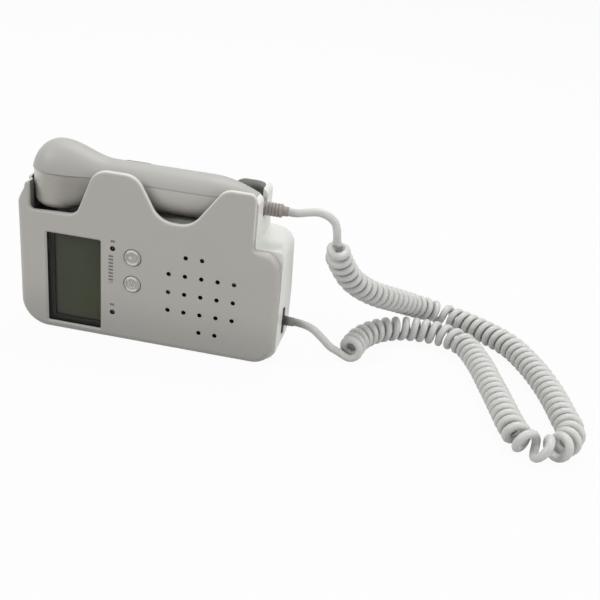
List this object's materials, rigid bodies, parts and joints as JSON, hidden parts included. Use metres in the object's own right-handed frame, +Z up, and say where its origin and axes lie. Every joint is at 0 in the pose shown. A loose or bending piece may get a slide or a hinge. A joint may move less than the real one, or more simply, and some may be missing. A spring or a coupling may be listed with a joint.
{
  "type": "fetal_doppler_monitor",
  "caption": "Fetal doppler monitor: unit with display, buttons and speaker grille, a probe standing in the holster along its top, and a curly cord.",
  "frame": {"origin": "middle of the flat long side that the unit stands on", "axes": "+X along the unit from the display to the cord end, +Y from the front cover to the back, +Z up to the holster"},
  "size_m": [0.2976, 0.1351, 0.1011],
  "materials": {
    "cover": "satin grey",
    "housing": "satin off-white",
    "probe": "satin grey",
    "cap": "satin grey",
    "button": "matt grey",
    "lens": "clear, tinted by what lies behind",
    "black": "matt black",
    "glass": "display glass",
    "white": "white",
    "board": "green board",
    "steel": "plain steel",
    "brass": "plated spring metal",
    "paper": "black paper cone",
    "cell": "cell jacket",
    "crystal": "fired ceramic",
    "foam": "damping rubber",
    "rubber": "dark grey rubber",
    "cord": "light grey cord jacket"
  },
  "bodies": {
    "case": {"front_cover": "cover", "rear_housing": "housing", "lcd_lens": "lens", "lcd_bezel": "black", "lcd_panel": "glass", "lcd_holder": "white", "main_board": "board", "speaker_frame": "steel", "speaker_cone": "paper", "speaker_magnet": "steel", "switch_lower": "black", "switch_upper": "black", "lamp_lower": "lens", "lamp_upper": "lens", "cell_lower": "cell", "cell_upper": "cell", "contact_link": "brass", "contact_plus": "brass", "contact_minus": "brass", "case_screw_1": "steel", "case_screw_2": "steel", "case_screw_3": "steel", "case_screw_4": "steel", "cable_gland": "rubber", "cord_unit_end": "cord", "cord_coil": "cord", "cord_probe_end": "cord"},
    "battery_cover": {"battery_cover": "housing"},
    "upper_key": {"button_upper": "button", "plunger_upper": "white"},
    "lower_key": {"button_lower": "button", "plunger_lower": "white"},
    "probe": {"probe_upper_shell": "probe", "probe_lower_shell": "cap", "probe_face": "white", "crystal_transmit": "crystal", "crystal_receive": "crystal", "crystal_backing": "foam", "probe_board": "board", "probe_screw_1": "steel", "probe_screw_2": "steel", "probe_strain_relief": "rubber"}
  },
  "joints": [
    {"name": "upper_key_press", "type": "slide", "parent": "case", "child": "upper_key", "axis": [0, 1, 0], "range_m": [0, 0.0006], "stiffness_N_per_m": 800},
    {"name": "lower_key_press", "type": "slide", "parent": "case", "child": "lower_key", "axis": [0, 1, 0], "range_m": [0, 0.0006], "stiffness_N_per_m": 800},
    {"name": "battery_cover_slide", "type": "slide", "parent": "case", "child": "battery_cover", "axis": [-1, 0, 0], "range_m": [0, 0.066]},
    {"name": "probe_lift", "type": "slide", "parent": "case", "child": "probe", "axis": [0, 0, 1], "range_m": [0, 0.04]}
  ]
}
